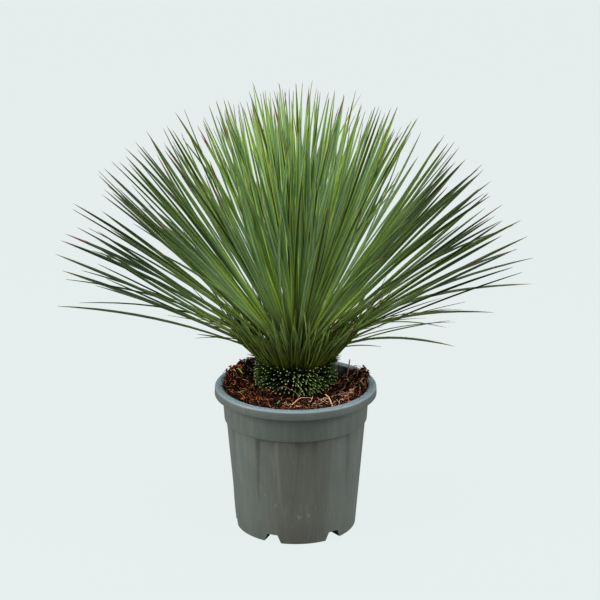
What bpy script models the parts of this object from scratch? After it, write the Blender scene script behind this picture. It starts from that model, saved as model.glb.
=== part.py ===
"""A beaked yucca in a round nursery pot, modelled as the real thing is put together.

The pot is a thin moulded shell with a folded rim, a plain collar, tapering
flutes and notches under its foot. Potting mix fills it. A short stem stands in
a plain hole in the mix. Its old leaves are cut back to stubs, and above them
it carries a round head of long narrow leaves.

Metres, +Z up. The origin is on the pot's axis, on the ground.
+X is to the right and +Y is away from someone facing the pot.
"""

import math
import random

import bmesh
import bpy
from mathutils import Matrix, Vector, noise

# Meshes that touch keep this gap
GAP = 0.0003

# Pot, a 12 litre container
RIM_RADIUS = 0.140
RIM_THICK = 0.0030
RIM_DEPTH = 0.0155
POT_HEIGHT = 0.255
FOOT_RADIUS = 0.105
WALL = 0.0022
COLLAR_TOP_RADIUS = 0.1265
COLLAR_BOTTOM_RADIUS = 0.1235
COLLAR_BOTTOM = 0.1935
COLLAR_STEP = 0.0028
FLOOR_UNDER = 0.0140
FLOOR_THICK = 0.0025

# Notches through the foot ring and holes in the floor, for draining
NOTCH_COUNT = 6
NOTCH_HEIGHT = 0.0150
NOTCH_WIDTH_LOW = 0.0350
NOTCH_WIDTH_HIGH = 0.0190
NOTCH_LENGTH = 0.016
NOTCH_OVERCUT = 0.005
NOTCH_FIRST = math.radians(-90 - 22.2)
DRAIN_HOLE_RADIUS = 0.0070
DRAIN_HOLE_RING = 0.066

# Flutes, pressed into the wall under the collar
FLUTE_COUNT = 11
FLUTE_DEPTH = 0.0046
FLUTE_END = 0.0400
FLUTE_FIRST = math.radians(-90 + 8.4)
# Where the six edges of one flute and the panel beside it stand at the top and
# at the foot, as shares of one turn of the pattern, from the flute's middle
FLUTE_EDGES_TOP = (-0.30, -0.175, 0.0, 0.175, 0.30, 0.50)
FLUTE_EDGES_FOOT = (-0.385, -0.335, 0.0, 0.335, 0.385, 0.50)
TURN_STEPS = FLUTE_COUNT * len(FLUTE_EDGES_TOP)

# Potting mix: heights of its top, and its heaps and hollow against the pot's wall, each
# with the azimuth of its middle and its half-width in degrees and its rise
MIX_STEPS = 40
MIX_AT_STEM = 0.2490
MIX_AT_RIM = 0.2505
MIX_HEAPS = ((140, 60, 0.0130), (3, 32, 0.0115), (54, 36, -0.0170))
MIX_CALM_RADIUS = 0.078
MIX_HEAP_RADIUS = 0.112
MIX_RELIEF = 0.0022
CHIP_COUNT = 14
CHIP_SEED = 5

# Stem, with its old leaves cut back to stubs
GOLDEN_ANGLE = math.pi * (3 - math.sqrt(5))
STEM_RADIUS = 0.0360
STEM_TOP = 0.2965
STEM_FOOT = 0.1850
STEM_FOOT_RADIUS = 0.0280
STEM_FOOT_RISE = 0.0145
STUB_COUNT = 180
STUB_REACH = 0.0740
STUB_LOW = 0.2655
STUB_HIGH = 0.2925
STUB_ANGLE_LOW = math.radians(-10)
STUB_ANGLE_HIGH = math.radians(19)
STUB_HALF_WIDTH = 0.0027
STUB_THICK = 0.0024
STUB_SINK = 0.005
STUB_SEED = 3

# Head of leaves
LEAF_COUNT = 288
LEAF_REACH = 0.469
LEAF_SHORTER_LOW = 0.10
LEAF_SHORTER_BEHIND = 0.06
LEAF_SHORTER_DRAW = 0.08
# Leaves near this angle in degrees are longer by this share, less so up to this far from
# it, and in front and behind only by this share of that
LEAF_LONGER = 0.08
LEAF_LONGER_AT = 44
LEAF_LONGER_SPREAD = 32
LEAF_LONGER_IN_FRONT = 0.4
LEAF_HALF_WIDTH = 0.0042
LEAF_THICK = 0.0015
LEAF_LOWEST = math.radians(28)
LEAF_LOWEST_IN_FRONT = math.radians(54)
LEAF_LOWEST_BEHIND = math.radians(46)
LEAF_HIGHER_AT_RIGHT = math.radians(6)
LEAF_STEEPEST = math.radians(89)
# Droop in degrees: of the upright leaves, what the lowest have beyond it, and its spread
LEAF_DROOP = (2, 12, 5)
# Below 1, more of the leaves stand upright
LEAF_CROWDING = 0.88
LEAF_STATIONS = (0.45, 0.86)
# A leaf that droops more than this has more stations
BENT_DROOP = math.radians(18)
BENT_STATIONS = (0.3, 0.58, 0.84)
# Every leaf points away from the stem's axis, from a height that rises with its angle,
# and starts a little inside the round core
AXIS_LOW = 0.2835
AXIS_HIGH = 0.3100
CORE_RADIUS = 0.0510
ROOT_OUT = 0.0420
LEAF_SEED = 11

# The leaves lean together in loose tufts: each is drawn this share of the way to its tuft
TUFT_COUNT = 50
TUFT_PULL = 0.3
TUFT_SEED = 367

# Leaves that stray from the head: azimuth and angle above the ground in degrees,
# reach in metres, droop and sideways bend in degrees
STRAY_LEAVES = (
    (180, 38, 0.362, 50, 0),
    (184, 38, 0.408, 34, 3),
    (176, 29, 0.370, 16, -2),
    (187, 36, 0.400, 20, 0),
    (181, 29, 0.360, 5, 0),
    (173, 30, 0.385, 7, 0),
    (-3, 38, 0.437, 27, 3),
    (0, 40, 0.402, 47, 0),
    (4, 40, 0.380, 47, -3),
    (-6, 38, 0.330, 50, 3),
    (-9, 33, 0.258, 55, -4),
)


def clear_scene():
    for old in list(bpy.data.objects):
        bpy.data.objects.remove(old)


def collection(name):
    made = bpy.data.collections.new(name)
    bpy.context.scene.collection.children.link(made)
    return made


def material(name, colour, roughness):
    made = bpy.data.materials.new(name)
    made.use_nodes = True
    shader = made.node_tree.nodes["Principled BSDF"]
    shader.inputs["Base Color"].default_value = (*colour, 1)
    shader.inputs["Roughness"].default_value = roughness
    shader.inputs["Metallic"].default_value = 0.0
    made.diffuse_color = (*colour, 1)
    return made


def add_object(name, mesh, group, finish):
    made = bpy.data.objects.new(name, mesh)
    mesh.materials.clear()
    mesh.materials.append(finish)
    group.objects.link(made)
    return made


def mesh_from(bm, name):
    """A mesh of triangles, because a Boolean can tear faces that aren't flat."""
    bmesh.ops.triangulate(bm, faces=bm.faces, quad_method="SHORT_EDGE")
    mesh = bpy.data.meshes.new(name)
    bm.to_mesh(mesh)
    bm.free()
    return mesh


def triangulate(obj):
    bm = bmesh.new()
    bm.from_mesh(obj.data)
    bmesh.ops.triangulate(bm, faces=bm.faces, quad_method="SHORT_EDGE")
    bm.to_mesh(obj.data)
    bm.free()


def turned(name, profile, steps, group, finish):
    """A solid of revolution, from (radius, height) points that run down its outer side."""
    mesh = bpy.data.meshes.new(name)
    edges = [(i, i + 1) for i in range(len(profile) - 1)]
    mesh.from_pydata([(r, 0, z) for r, z in profile], edges, [])
    made = add_object(name, mesh, group, finish)
    screw = made.modifiers.new("Turn", "SCREW")
    screw.steps = steps
    screw.render_steps = steps
    screw.use_merge_vertices = True
    screw.merge_threshold = 0.00005
    apply_modifiers(made)
    return made


def apply_modifiers(obj):
    bpy.context.view_layer.update()
    graph = bpy.context.evaluated_depsgraph_get()
    mesh = bpy.data.meshes.new_from_object(obj.evaluated_get(graph))
    old = obj.data
    obj.modifiers.clear()
    obj.data = mesh
    mesh.name = obj.name
    bpy.data.meshes.remove(old)


def boolean(obj, others, operation, solver="EXACT"):
    """Cuts obj with a collection, or joins the collection to it, and removes the collection."""
    step = obj.modifiers.new(operation.title(), "BOOLEAN")
    step.operation = operation
    step.operand_type = "COLLECTION"
    step.collection = others
    step.solver = solver
    apply_modifiers(obj)
    for used in list(others.objects):
        bpy.data.objects.remove(used)
    bpy.data.collections.remove(others)


def keep_main_shell(mesh):
    """Fills the hollows that fusing sealed, and drops scraps that it cut loose."""
    bm = bmesh.new()
    bm.from_mesh(mesh)
    left = set(bm.faces)
    shells = []
    while left:
        shell = {left.pop()}
        front = list(shell)
        while front:
            for edge in front.pop().edges:
                for face in edge.link_faces:
                    if len(edge.link_faces) == 2 and face in left:
                        left.remove(face)
                        shell.add(face)
                        front.append(face)
        shells.append(shell)
    main = max(shells, key=len)
    extra = [face for face in bm.faces if face not in main]
    bmesh.ops.delete(bm, geom=extra, context="FACES")
    bm.to_mesh(mesh)
    bm.free()


def polar(azimuth, radius, height=0.0):
    return Vector((radius * math.cos(azimuth), radius * math.sin(azimuth), height))


def between(low, high, share):
    return low + (high - low) * share


def smooth(share):
    share = min(max(share, 0.0), 1.0)
    return share * share * (3 - 2 * share)


# The fluted pot


def flute_share(height):
    """How far up the flute a height is: 0 where it dies out, 1 at its full depth."""
    return min(max((height - FLUTE_END) / (COLLAR_BOTTOM - FLUTE_END), 0.0), 1.0)


def press_flutes(mesh):
    """Moves the even steps of a turned solid to the flutes' edges, and presses the flutes in."""
    turn = 2 * math.pi / FLUTE_COUNT
    per_flute = len(FLUTE_EDGES_TOP)
    for vertex in mesh.vertices:
        radius = math.hypot(vertex.co.x, vertex.co.y)
        step = round(math.atan2(vertex.co.y, vertex.co.x) / (2 * math.pi) * TURN_STEPS)
        flute, edge = divmod(step, per_flute)
        share = flute_share(vertex.co.z)
        offset = between(FLUTE_EDGES_FOOT[edge], FLUTE_EDGES_TOP[edge], share)
        if vertex.co.z < COLLAR_BOTTOM + GAP and edge in (1, 2, 3):
            radius -= FLUTE_DEPTH * share
        azimuth = FLUTE_FIRST + (flute + offset) * turn
        vertex.co = polar(azimuth, radius, vertex.co.z)


def wall_radius(height):
    """The outside of the plain wall between the foot and the collar."""
    top = COLLAR_BOTTOM_RADIUS - COLLAR_STEP
    return between(FOOT_RADIUS, top, height / COLLAR_BOTTOM)


def pot_profile():
    """Half the pot's section, from its floor up its inside and down its outside."""
    rim_under = POT_HEIGHT - RIM_THICK
    skirt_low = POT_HEIGHT - RIM_DEPTH
    foot_in = FOOT_RADIUS - WALL
    floor_top = FLOOR_UNDER + FLOOR_THICK
    return [
        (0, floor_top),
        (foot_in - 0.0004, floor_top),
        (wall_radius(FLUTE_END) - WALL, FLUTE_END),
        (wall_radius(COLLAR_BOTTOM) - WALL, COLLAR_BOTTOM),
        (COLLAR_BOTTOM_RADIUS - WALL, COLLAR_BOTTOM + 0.0045),
        (COLLAR_TOP_RADIUS - WALL, POT_HEIGHT - 0.0020),
        (COLLAR_TOP_RADIUS + 0.0018, POT_HEIGHT),
        (RIM_RADIUS - RIM_THICK, POT_HEIGHT),
        (RIM_RADIUS - 0.0006, POT_HEIGHT - 0.0022),
        (RIM_RADIUS, skirt_low),
        (RIM_RADIUS - WALL, skirt_low),
        (RIM_RADIUS - RIM_THICK, rim_under),
        (COLLAR_TOP_RADIUS + 0.0008, rim_under),
        (COLLAR_BOTTOM_RADIUS, COLLAR_BOTTOM + 0.0012),
        (wall_radius(COLLAR_BOTTOM), COLLAR_BOTTOM),
        (wall_radius(FLUTE_END), FLUTE_END),
        (FOOT_RADIUS, 0),
        (foot_in, 0),
        (foot_in, FLOOR_UNDER),
        (0, FLOOR_UNDER),
    ]


def notch_cutter(azimuth, group, finish):
    """A wedge that reaches through the foot ring, narrower at its top."""
    bm = bmesh.new()
    bmesh.ops.create_cube(bm, size=1)
    for vertex in bm.verts:
        high = vertex.co.z > 0
        vertex.co.x = vertex.co.x * NOTCH_LENGTH + FOOT_RADIUS
        vertex.co.y *= NOTCH_WIDTH_HIGH if high else NOTCH_WIDTH_LOW
        vertex.co.z = NOTCH_HEIGHT if high else -NOTCH_OVERCUT
    bm.transform(Matrix.Rotation(azimuth, 4, "Z"))
    add_object("notch", mesh_from(bm, "notch"), group, finish)


def drain_cutter(azimuth, group, finish):
    bm = bmesh.new()
    bmesh.ops.create_cone(
        bm,
        cap_ends=True,
        segments=8,
        radius1=DRAIN_HOLE_RADIUS,
        radius2=DRAIN_HOLE_RADIUS,
        depth=4 * FLOOR_THICK,
    )
    place = polar(azimuth, DRAIN_HOLE_RING, FLOOR_UNDER + FLOOR_THICK / 2)
    bm.transform(Matrix.Translation(place))
    add_object("drain", mesh_from(bm, "drain"), group, finish)


def make_pot(group):
    finish = material("pot_plastic", (0.105, 0.125, 0.118), 0.62)
    pot = turned("nursery_pot", pot_profile(), TURN_STEPS, group, finish)
    press_flutes(pot.data)
    triangulate(pot)
    cutters = collection("pot_cutters")
    for k in range(NOTCH_COUNT):
        azimuth = NOTCH_FIRST + k * 2 * math.pi / NOTCH_COUNT
        notch_cutter(azimuth, cutters, finish)
        drain_cutter(azimuth, cutters, finish)
    boolean(pot, cutters, "DIFFERENCE")
    pot.data.shade_smooth()
    pot.data.set_sharp_from_angle(angle=math.radians(25))


# The potting mix


def bump(azimuth, middle, half_width):
    """1 at the middle azimuth, falling smoothly to 0 at half_width from it, in degrees."""
    off = abs((math.degrees(azimuth) - middle + 180) % 360 - 180)
    return smooth(1 - off / half_width)


def mix_height(azimuth, radius):
    """The top of the mix: heaped at the back left and the right, low at the back right."""
    edge = MIX_AT_RIM
    for middle, half_width, rise in MIX_HEAPS:
        edge += rise * bump(azimuth, middle, half_width)
    share = (radius - MIX_CALM_RADIUS) / (MIX_HEAP_RADIUS - MIX_CALM_RADIUS)
    return between(MIX_AT_STEM, edge, smooth(share))


def mix_profile():
    """Half the mix's section: the stem's hole, its top, its side along the wall, and its floor."""
    hole = STEM_RADIUS + GAP
    floor = FLOOR_UNDER + FLOOR_THICK + GAP
    clear = WALL + 2 * GAP
    top = [(r, MIX_AT_STEM) for r in (hole, 0.056, 0.076, 0.090, 0.103, 0.115)]
    return [
        (0, STEM_FOOT - GAP),
        (STEM_FOOT_RADIUS + 2 * GAP, STEM_FOOT - GAP),
        (hole, STEM_FOOT + STEM_FOOT_RISE - 2 * GAP),
        *top,
        (COLLAR_TOP_RADIUS - clear - 0.0010, MIX_AT_RIM),
        (COLLAR_BOTTOM_RADIUS - clear, COLLAR_BOTTOM + 0.0080),
        (wall_radius(COLLAR_BOTTOM) - clear - FLUTE_DEPTH, COLLAR_BOTTOM),
        (wall_radius(FLUTE_END) - clear, FLUTE_END),
        (FOOT_RADIUS - clear - 0.0006, floor),
        (0, floor),
    ]


def raise_mix(mesh):
    """Lifts the top of the mix to its heaps and hollows, with a rough relief."""
    for vertex in mesh.vertices:
        if vertex.co.z < MIX_AT_STEM - GAP:
            continue
        radius = math.hypot(vertex.co.x, vertex.co.y)
        azimuth = math.atan2(vertex.co.y, vertex.co.x)
        rough = noise.noise(vertex.co * 95) + 0.7 * noise.noise(vertex.co * 210)
        calm = smooth((radius - STEM_RADIUS) / 0.05)
        vertex.co.z = mix_height(azimuth, radius) + MIX_RELIEF * rough * calm


def add_chips(group, finish):
    """Bark chips half sunk in the mix."""
    draw = random.Random(CHIP_SEED)
    for k in range(CHIP_COUNT):
        azimuth = k * GOLDEN_ANGLE
        radius = between(MIX_CALM_RADIUS + 0.007, MIX_HEAP_RADIUS, draw.random())
        size = Vector((draw.uniform(5, 9), draw.uniform(3, 5), draw.uniform(2, 3)))
        bm = bmesh.new()
        bmesh.ops.create_cone(
            bm, cap_ends=True, segments=3, radius1=1, radius2=0.7, depth=1.6
        )
        turn = Matrix.Rotation(draw.uniform(0, 6.3), 4, "Z")
        tilt = Matrix.Rotation(draw.uniform(1.2, 1.9), 4, "X")
        grow = Matrix.Diagonal((*(size * 0.001), 1))
        lift = mix_height(azimuth, radius) + 0.0008
        place = Matrix.Translation(polar(azimuth, radius, lift))
        bm.transform(place @ turn @ tilt @ grow)
        add_object("chip", mesh_from(bm, "chip"), group, finish)


def make_mix(group):
    finish = material("potting_mix", (0.060, 0.027, 0.016), 0.95)
    mix = turned("potting_mix", mix_profile(), MIX_STEPS, group, finish)
    raise_mix(mix.data)
    triangulate(mix)
    chips = collection("chips")
    add_chips(chips, finish)
    boolean(mix, chips, "UNION")


# Blades: one long leaf or one stub, each made from a three-sided bar

PRISM_SIDE = math.cos(math.radians(30))
PRISM_DEPTH = 1.5


def prism(stations=()):
    """A closed three-sided bar from z 0 to z 1, with a ring of points at each station."""
    bm = bmesh.new()
    bmesh.ops.create_cone(bm, cap_ends=True, segments=3, radius1=1, radius2=1, depth=1)
    bm.transform(Matrix.Translation((0, 0, 0.5)))
    for height in stations:
        bmesh.ops.bisect_plane(
            bm,
            geom=bm.verts[:] + bm.edges[:] + bm.faces[:],
            plane_co=(0, 0, height),
            plane_no=(0, 0, 1),
        )
    return bm


def leaf_width(share):
    """Half the leaf's width along its length, as a share of its widest."""
    swell = 0.5 + 0.5 * smooth(share / 0.45)
    return swell * (1 - share**5)


class Leaf:
    """The line, width and roll of one leaf, from its root to its tip."""

    def __init__(self, azimuth, angle, reach, droop, bend, roll, twist, width):
        self.ahead = polar(azimuth, math.cos(angle), math.sin(angle))
        self.root = Vector((0, 0, axis_height(angle))) + self.ahead * ROOT_OUT
        self.length = reach - ROOT_OUT
        self.side = polar(azimuth + math.pi / 2, 1)
        self.up = self.ahead.cross(self.side)
        self.droop = droop
        self.bend = bend
        self.roll = roll
        self.twist = twist
        self.width = width

    def point(self, share):
        curve = 0.5 * self.length * share * share
        line = self.root + self.ahead * (self.length * share)
        return line - self.up * (curve * self.droop) + self.side * (curve * self.bend)

    def place(self, share, across, below):
        """A point across the blade and below its face, in shares of its width and thickness."""
        turn = self.roll + self.twist * share
        out = self.side * math.cos(turn) + self.up * math.sin(turn)
        face = self.up * math.cos(turn) - self.side * math.sin(turn)
        half = self.width * leaf_width(share)
        thick = LEAF_THICK * (1 - 0.6 * share**2)
        return self.point(share) + out * (across * half) - face * (below * thick)


def axis_height(angle):
    """Where on the stem's axis the line of a leaf at this angle starts."""
    share = (angle - LEAF_LOWEST) / (LEAF_STEEPEST - LEAF_LOWEST)
    return between(AXIS_LOW, AXIS_HIGH, share)


def core_profile():
    """Half the core's section: its round top, its overhang and its flat foot."""
    angles = [math.radians(a) for a in (90, 78, 62, 42, 23)]
    heights = [axis_height(a) + CORE_RADIUS * math.sin(a) for a in angles]
    dome = [(CORE_RADIUS * math.cos(a), z) for a, z in zip(angles, heights)]
    foot = STEM_TOP + GAP
    return [(0, dome[0][1]), *dome[1:], (STEM_RADIUS - 0.001, foot), (0, foot)]


def leaf_angle(youth, azimuth):
    """A leaf's angle above the ground: upright if young, and low at the sides alone."""
    lowest = between(LEAF_LOWEST, LEAF_LOWEST_IN_FRONT, bump(azimuth, -90, 85))
    lowest += (LEAF_LOWEST_BEHIND - LEAF_LOWEST) * bump(azimuth, 90, 80)
    lowest += LEAF_HIGHER_AT_RIGHT * bump(azimuth, 0, 50)
    rise = youth**LEAF_CROWDING
    even = math.asin(between(math.sin(lowest), math.sin(LEAF_STEEPEST), rise))
    return 0.5 * (even + between(lowest, LEAF_STEEPEST, rise))


def leaf_reach(youth, azimuth, angle):
    """How far a leaf reaches from the stem's axis: the low ones less, those behind too."""
    reach = LEAF_REACH * (1 - LEAF_SHORTER_LOW * (1 - youth) ** 1.5)
    off = abs(math.degrees(angle) - LEAF_LONGER_AT)
    sideways = between(LEAF_LONGER_IN_FRONT, 1, math.cos(azimuth) ** 2)
    reach *= 1 + LEAF_LONGER * sideways * smooth(1 - off / LEAF_LONGER_SPREAD)
    return reach * (1 - LEAF_SHORTER_BEHIND * (1 - youth) * bump(azimuth, 90, 80))


def tuft_plan():
    """The direction of every tuft, spread over the head as the leaves are."""
    draw = random.Random(TUFT_SEED)
    plan = []
    for k in range(TUFT_COUNT):
        azimuth = k * GOLDEN_ANGLE + math.radians(draw.gauss(0, 12))
        angle = leaf_angle((k + 0.5) / TUFT_COUNT, azimuth) + math.radians(draw.gauss(0, 4))
        plan.append(polar(azimuth, math.cos(angle), math.sin(angle)))
    return plan


def in_tuft(azimuth, angle, tufts):
    """A leaf's azimuth and angle, drawn towards the tuft that is nearest to it."""
    ahead = polar(azimuth, math.cos(angle), math.sin(angle))
    nearest = max(tufts, key=ahead.dot)
    ahead = (ahead * (1 - TUFT_PULL) + nearest * TUFT_PULL).normalized()
    return math.atan2(ahead.y, ahead.x), math.asin(min(ahead.z, 1))


def leaf_plan():
    """Every leaf of the head, oldest and lowest first, on the golden angle."""
    draw = random.Random(LEAF_SEED)
    tufts = tuft_plan()
    plan = []
    for k in range(LEAF_COUNT):
        youth = (k + 0.5) / LEAF_COUNT
        azimuth = k * GOLDEN_ANGLE + math.radians(draw.gauss(0, 6))
        angle = leaf_angle(youth, azimuth) + math.radians(draw.gauss(0, 3.5))
        azimuth, angle = in_tuft(azimuth, max(angle, LEAF_LOWEST), tufts)
        reach = leaf_reach(youth, azimuth, angle)
        reach *= 1 - LEAF_SHORTER_DRAW * draw.random() ** 2
        droop, droop_low, spread = LEAF_DROOP
        droop = math.radians(droop + droop_low * (1 - youth) ** 2 + draw.gauss(0, spread))
        bend = math.radians(draw.gauss(0, 7))
        roll = math.radians(draw.gauss(0, 9))
        twist = math.radians(draw.choice((-1, 1)) * draw.uniform(15, 95))
        width = LEAF_HALF_WIDTH * draw.uniform(0.84, 1.08)
        plan.append(Leaf(azimuth, angle, reach, droop, bend, roll, twist, width))
    for azimuth, angle, reach, droop, bend in STRAY_LEAVES:
        azimuth, angle, droop, bend = map(math.radians, (azimuth, angle, droop, bend))
        plan.append(Leaf(azimuth, angle, reach, droop, bend, 0, 0.5, LEAF_HALF_WIDTH))
    return plan


def blade_mesh(leaf, name):
    """A leaf with a flat face, a keel under it and a pointed tip."""
    stations = BENT_STATIONS if leaf.droop > BENT_DROOP else LEAF_STATIONS
    bm = prism(stations)
    tip = [vertex for vertex in bm.verts if vertex.co.z > max(stations) + GAP]
    for vertex in bm.verts:
        across = -vertex.co.x / PRISM_SIDE
        below = (vertex.co.y + 0.5) / PRISM_DEPTH
        vertex.co = leaf.place(vertex.co.z, across, below)
    bmesh.ops.pointmerge(bm, verts=tip, merge_co=leaf.point(1))
    return mesh_from(bm, name)


def make_leaf_crown(group):
    finish = material("leaf_green", (0.085, 0.170, 0.045), 0.48)
    crown = turned("leaf_crown", core_profile(), 20, group, finish)
    blades = collection("blades")
    for leaf in leaf_plan():
        add_object("blade", blade_mesh(leaf, "blade"), blades, finish)
    boolean(crown, blades, "UNION", solver="MANIFOLD")
    keep_main_shell(crown.data)


# The stem and its stubs


def stub_mesh(azimuth, angle, height, length, roll):
    bm = prism()
    ahead = polar(azimuth, math.cos(angle), math.sin(angle))
    side = polar(azimuth + math.pi / 2, 1)
    up = ahead.cross(side)
    across = side * math.cos(roll) + up * math.sin(roll)
    face = ahead.cross(across)
    root = polar(azimuth, STEM_RADIUS - STUB_SINK, height)
    for vertex in bm.verts:
        wide = vertex.co.x * STUB_HALF_WIDTH
        thick = vertex.co.y * STUB_THICK / PRISM_DEPTH
        reach = vertex.co.z * length
        vertex.co = root + ahead * reach + across * wide + face * thick
    return mesh_from(bm, "stub")


def make_stem(group):
    finish = material("stem_and_stubs", (0.075, 0.120, 0.040), 0.65)
    profile = [
        (0, STEM_TOP),
        (STEM_RADIUS - 0.001, STEM_TOP),
        (STEM_RADIUS, STUB_LOW),
        (STEM_RADIUS, STEM_FOOT + STEM_FOOT_RISE),
        (STEM_FOOT_RADIUS, STEM_FOOT),
        (0, STEM_FOOT),
    ]
    stem = turned("trimmed_stem", profile, 20, group, finish)
    draw = random.Random(STUB_SEED)
    stubs = collection("stubs")
    for k in range(STUB_COUNT):
        share = (k + 0.5) / STUB_COUNT
        azimuth = k * GOLDEN_ANGLE
        angle = between(STUB_ANGLE_LOW, STUB_ANGLE_HIGH, share**1.2)
        height = between(STUB_LOW, STUB_HIGH, share)
        length = (STUB_REACH - STEM_RADIUS + STUB_SINK) * draw.uniform(0.95, 1.03)
        roll = math.radians(draw.gauss(0, 7))
        mesh = stub_mesh(azimuth, angle, height, length, roll)
        add_object("stub", mesh, stubs, finish)
    boolean(stem, stubs, "UNION", solver="MANIFOLD")
    keep_main_shell(stem.data)


clear_scene()
plant = collection("potted_yucca")
make_pot(plant)
make_mix(plant)
make_stem(plant)
make_leaf_crown(plant)
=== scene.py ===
"""The looks of a potted yucca: a fluted nursery pot, its potting mix with the bits that lie on
it, the stem with its cut stubs, and the round head of leaves.

Metres, +Z up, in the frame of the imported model. The origin is on the pot's axis, on the ground.
"""

import random
from math import asin, atan2, cos, degrees, hypot, pi, radians, sin, sqrt

import bmesh
import bpy
from mathutils import Matrix, Vector, noise


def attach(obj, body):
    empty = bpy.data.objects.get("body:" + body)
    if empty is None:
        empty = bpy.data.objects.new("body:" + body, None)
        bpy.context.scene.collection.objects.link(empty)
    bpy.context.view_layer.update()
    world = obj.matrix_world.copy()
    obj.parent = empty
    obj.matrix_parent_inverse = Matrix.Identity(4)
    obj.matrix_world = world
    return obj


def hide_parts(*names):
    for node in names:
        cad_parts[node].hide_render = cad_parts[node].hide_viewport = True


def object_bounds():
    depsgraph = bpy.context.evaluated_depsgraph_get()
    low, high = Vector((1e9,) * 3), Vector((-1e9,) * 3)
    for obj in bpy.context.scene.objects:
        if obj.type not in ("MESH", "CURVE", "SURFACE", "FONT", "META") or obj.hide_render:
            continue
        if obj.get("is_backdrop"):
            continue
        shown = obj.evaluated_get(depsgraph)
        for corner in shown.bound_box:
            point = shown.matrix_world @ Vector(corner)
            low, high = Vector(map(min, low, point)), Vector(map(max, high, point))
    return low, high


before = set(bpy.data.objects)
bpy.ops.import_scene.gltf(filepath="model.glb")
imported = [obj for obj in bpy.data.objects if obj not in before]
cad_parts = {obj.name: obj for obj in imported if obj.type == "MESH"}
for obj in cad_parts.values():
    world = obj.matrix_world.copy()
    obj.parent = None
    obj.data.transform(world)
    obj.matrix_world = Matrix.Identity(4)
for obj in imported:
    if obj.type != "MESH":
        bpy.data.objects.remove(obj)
cad_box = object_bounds()

# Nursery pot
# One injection-moulded shell of recycled grey-green plastic. It has a folded rim to lift it
# by, a plain collar, tapering flutes that stiffen its wall, and a foot ring with notches.

RIM_RADIUS = 0.140
RIM_THICK = 0.0030
RIM_DEPTH = 0.0155
POT_HEIGHT = 0.255
FOOT_RADIUS = 0.105
WALL = 0.0022
COLLAR_TOP_RADIUS = 0.1265
COLLAR_BOTTOM_RADIUS = 0.1235
COLLAR_BOTTOM = 0.1935
COLLAR_STEP = 0.0028
FLOOR_UNDER = 0.0140
FLOOR_THICK = 0.0025
NOTCH_COUNT = 6
NOTCH_HEIGHT = 0.0150
NOTCH_WIDTH_LOW = 0.0350
NOTCH_WIDTH_HIGH = 0.0190
NOTCH_LENGTH = 0.016
NOTCH_OVERCUT = 0.005
NOTCH_FIRST = radians(-90 - 22.2)
DRAIN_HOLE_RADIUS = 0.0070
DRAIN_HOLE_RING = 0.066
FLUTE_COUNT = 11
FLUTE_DEPTH = 0.0046
FLUTE_END = 0.0400
FLUTE_FIRST = radians(-90 + 8.4)
FLUTE_EDGES_TOP = (-0.30, -0.175, 0.0, 0.175, 0.30, 0.50, 0.70)
FLUTE_EDGES_FOOT = (-0.385, -0.335, 0.0, 0.335, 0.385, 0.50, 0.615)
FLUTE_CUTS = 4
POT_STEPS = FLUTE_COUNT * 6 * FLUTE_CUTS
CORNER_ROUND = 0.0012
# The collar's inner side stands at this radius, plus this slope times the height
INSIDE_RADIUS = 0.1105
INSIDE_SLOPE = 0.0545


def polar(azimuth, radius, height=0.0):
    return Vector((radius * cos(azimuth), radius * sin(azimuth), height))


def between(low, high, share):
    return low + (high - low) * share


def smooth(share):
    share = min(max(share, 0.0), 1.0)
    return share * share * (3 - 2 * share)


def wall_radius(height):
    """The outside of the plain wall between the foot and the collar."""
    top = COLLAR_BOTTOM_RADIUS - COLLAR_STEP
    return between(FOOT_RADIUS, top, height / COLLAR_BOTTOM)


def rounded(profile, size):
    """The profile with each of its corners eased by three points."""
    points = [Vector(p) for p in profile]
    made = [points[0]]
    for before, corner, after in zip(points, points[1:], points[2:]):
        first = (before - corner).normalized() * min(size, (before - corner).length * 0.4)
        last = (after - corner).normalized() * min(size, (after - corner).length * 0.4)
        made += [corner + first, corner + (first + last) * 0.25, corner + last]
    return [*made, points[-1]]


def turned(profile, steps):
    """A closed solid of revolution, from (radius, height) points that start and end on the axis."""
    bm = bmesh.new()
    verts = [bm.verts.new((max(r, 0), 0, z)) for r, z in profile]
    edges = [bm.edges.new(pair) for pair in zip(verts, verts[1:])]
    turn = {"cent": (0, 0, 0), "axis": (0, 0, 1), "angle": 2 * pi}
    bmesh.ops.spin(bm, geom=verts + edges, steps=steps, use_merge=True, **turn)
    bmesh.ops.remove_doubles(bm, verts=bm.verts, dist=0.00002)
    bmesh.ops.recalc_face_normals(bm, faces=bm.faces)
    return bm


def linked(name, data):
    """An object of this data, in the scene."""
    made = bpy.data.objects.new(name, data)
    bpy.context.scene.collection.objects.link(made)
    return made


def object_from(bm, name):
    mesh = bpy.data.meshes.new(name)
    bm.to_mesh(mesh)
    bm.free()
    return linked(name, mesh)


def piece_from(bm, name, material=None, sharp=None):
    """A piece of the object, smooth shaded apart from edges sharper than the given angle."""
    made = object_from(bm, name)
    made.data.shade_smooth()
    if sharp:
        made.data.set_sharp_from_angle(angle=radians(sharp))
    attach(made, "root")
    if material:
        made.data.materials.append(material)
    return made


def cut_from(obj, cutter):
    """Cuts another object out of obj, and removes that object."""
    step = obj.modifiers.new("Cut", "BOOLEAN")
    step.operation = "DIFFERENCE"
    step.object = cutter
    step.solver = "EXACT"
    bpy.context.view_layer.update()
    graph = bpy.context.evaluated_depsgraph_get()
    mesh = bpy.data.meshes.new_from_object(obj.evaluated_get(graph))
    obj.modifiers.clear()
    obj.data = mesh
    bpy.data.objects.remove(cutter)


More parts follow.
